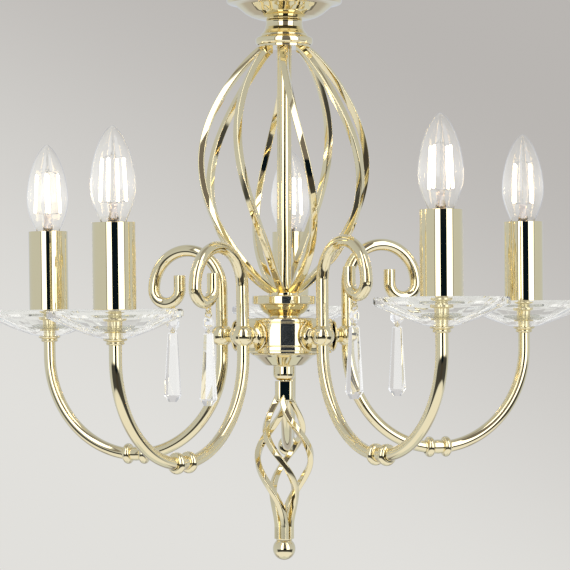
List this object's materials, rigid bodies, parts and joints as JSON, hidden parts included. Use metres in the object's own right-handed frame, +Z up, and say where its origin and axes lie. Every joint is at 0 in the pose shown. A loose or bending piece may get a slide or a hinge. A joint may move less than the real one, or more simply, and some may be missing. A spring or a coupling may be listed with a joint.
{
  "type": "chandelier",
  "caption": "Ceiling chandelier in polished brass: curved arms with candle lamps and glass drip dishes, hanging crystals, a twisted bar cage on the stem and a basket finial.",
  "frame": {"origin": "middle of the ceiling face, on the chandelier's vertical axis", "axes": "+Z up towards the ceiling, the light hangs along -Z, and +Y runs through the first arm"},
  "size_m": [0.5043, 0.4845, 0.4603],
  "materials": {
    "polished_brass": "mirror polished",
    "zinc_steel": "zinc plated",
    "cap_steel": "nickel plated",
    "cut_glass": "clear, cut underneath",
    "crystal": "clear, faceted",
    "bulb_glass": "clear",
    "bakelite": "matte",
    "cable_sheath": "matte"
  },
  "bodies": {
    "chandelier": {"ceiling_rose": "polished_brass", "ceiling_bracket": "zinc_steel", "top_collar": "polished_brass", "centre_rod": "polished_brass", "bar_cage": "polished_brass", "hub_cap": "polished_brass", "hub_body": "polished_brass", "hub_base": "polished_brass", "twist_finial": "polished_brass", "supply_wiring": "cable_sheath", "arm_tube_1": "polished_brass", "arm_joint_1": "polished_brass", "arm_knuckle_1": "polished_brass", "glass_dish_1": "cut_glass", "lamp_holder_1": "bakelite", "candle_sleeve_1": "polished_brass", "arm_tube_2": "polished_brass", "arm_joint_2": "polished_brass", "arm_knuckle_2": "polished_brass", "glass_dish_2": "cut_glass", "lamp_holder_2": "bakelite", "candle_sleeve_2": "polished_brass", "arm_tube_3": "polished_brass", "arm_joint_3": "polished_brass", "arm_knuckle_3": "polished_brass", "glass_dish_3": "cut_glass", "lamp_holder_3": "bakelite", "candle_sleeve_3": "polished_brass", "arm_tube_4": "polished_brass", "arm_joint_4": "polished_brass", "arm_knuckle_4": "polished_brass", "glass_dish_4": "cut_glass", "lamp_holder_4": "bakelite", "candle_sleeve_4": "polished_brass", "arm_tube_5": "polished_brass", "arm_joint_5": "polished_brass", "arm_knuckle_5": "polished_brass", "glass_dish_5": "cut_glass", "lamp_holder_5": "bakelite", "candle_sleeve_5": "polished_brass"},
    "bulb_1": {"bulb_glass_1": "bulb_glass", "bulb_cap_1": "cap_steel"},
    "link_1": {"drop_link_1": "polished_brass"},
    "crystal_1": {"crystal_drop_1": "crystal"},
    "bulb_2": {"bulb_glass_2": "bulb_glass", "bulb_cap_2": "cap_steel"},
    "link_2": {"drop_link_2": "polished_brass"},
    "crystal_2": {"crystal_drop_2": "crystal"},
    "bulb_3": {"bulb_glass_3": "bulb_glass", "bulb_cap_3": "cap_steel"},
    "link_3": {"drop_link_3": "polished_brass"},
    "crystal_3": {"crystal_drop_3": "crystal"},
    "bulb_4": {"bulb_glass_4": "bulb_glass", "bulb_cap_4": "cap_steel"},
    "link_4": {"drop_link_4": "polished_brass"},
    "crystal_4": {"crystal_drop_4": "crystal"},
    "bulb_5": {"bulb_glass_5": "bulb_glass", "bulb_cap_5": "cap_steel"},
    "link_5": {"drop_link_5": "polished_brass"},
    "crystal_5": {"crystal_drop_5": "crystal"}
  },
  "joints": [
    {"name": "bulb_1_unscrew", "type": "slide", "parent": "chandelier", "child": "bulb_1", "axis": [0, 0, 1], "range_m": [0, 0.03]},
    {"name": "link_1_swing", "type": "hinge", "parent": "chandelier", "child": "link_1", "pos_m": [0, 0.098, -0.25602], "axis": [0, 1, 0], "range_deg": [-22, 22]},
    {"name": "crystal_1_swing", "type": "hinge", "parent": "link_1", "child": "crystal_1", "pos_m": [0, 0.098, -0.26002], "axis": [-1, 0, 0], "range_deg": [-16, 16]},
    {"name": "bulb_2_unscrew", "type": "slide", "parent": "chandelier", "child": "bulb_2", "axis": [-0.0149, 0.0049, 0.9999], "range_m": [0, 0.03]},
    {"name": "link_2_swing", "type": "hinge", "parent": "chandelier", "child": "link_2", "pos_m": [-0.09354, 0.03039, -0.25831], "axis": [-0.9511, 0.309, 0], "range_deg": [-22, 22]},
    {"name": "crystal_2_swing", "type": "hinge", "parent": "link_2", "child": "crystal_2", "pos_m": [-0.09354, 0.03039, -0.26231], "axis": [-0.309, -0.9511, 0], "range_deg": [-16, 16]},
    {"name": "bulb_3_unscrew", "type": "slide", "parent": "chandelier", "child": "bulb_3", "axis": [-0.0123, -0.0169, 0.9998], "range_m": [0, 0.03]},
    {"name": "link_3_swing", "type": "hinge", "parent": "chandelier", "child": "link_3", "pos_m": [-0.05788, -0.07966, -0.25814], "axis": [-0.5878, -0.809, 0], "range_deg": [-22, 22]},
    {"name": "crystal_3_swing", "type": "hinge", "parent": "link_3", "child": "crystal_3", "pos_m": [-0.05788, -0.07966, -0.26214], "axis": [0.809, -0.5878, 0], "range_deg": [-16, 16]},
    {"name": "bulb_4_unscrew", "type": "slide", "parent": "chandelier", "child": "bulb_4", "axis": [-0.0072, 0.0099, 0.9999], "range_m": [0, 0.03]},
    {"name": "link_4_swing", "type": "hinge", "parent": "chandelier", "child": "link_4", "pos_m": [0.05744, -0.07906, -0.25249], "axis": [0.5878, -0.809, 0], "range_deg": [-22, 22]},
    {"name": "crystal_4_swing", "type": "hinge", "parent": "link_4", "child": "crystal_4", "pos_m": [0.05744, -0.07906, -0.25649], "axis": [0.809, 0.5878, 0], "range_deg": [-16, 16]},
    {"name": "bulb_5_unscrew", "type": "slide", "parent": "chandelier", "child": "bulb_5", "axis": [-0.0083, -0.0027, 1], "range_m": [0, 0.03]},
    {"name": "link_5_swing", "type": "hinge", "parent": "chandelier", "child": "link_5", "pos_m": [0.09301, 0.03022, -0.25305], "axis": [0.9511, 0.309, 0], "range_deg": [-22, 22]},
    {"name": "crystal_5_swing", "type": "hinge", "parent": "link_5", "child": "crystal_5", "pos_m": [0.09301, 0.03022, -0.25705], "axis": [-0.309, 0.9511, 0], "range_deg": [-16, 16]}
  ]
}
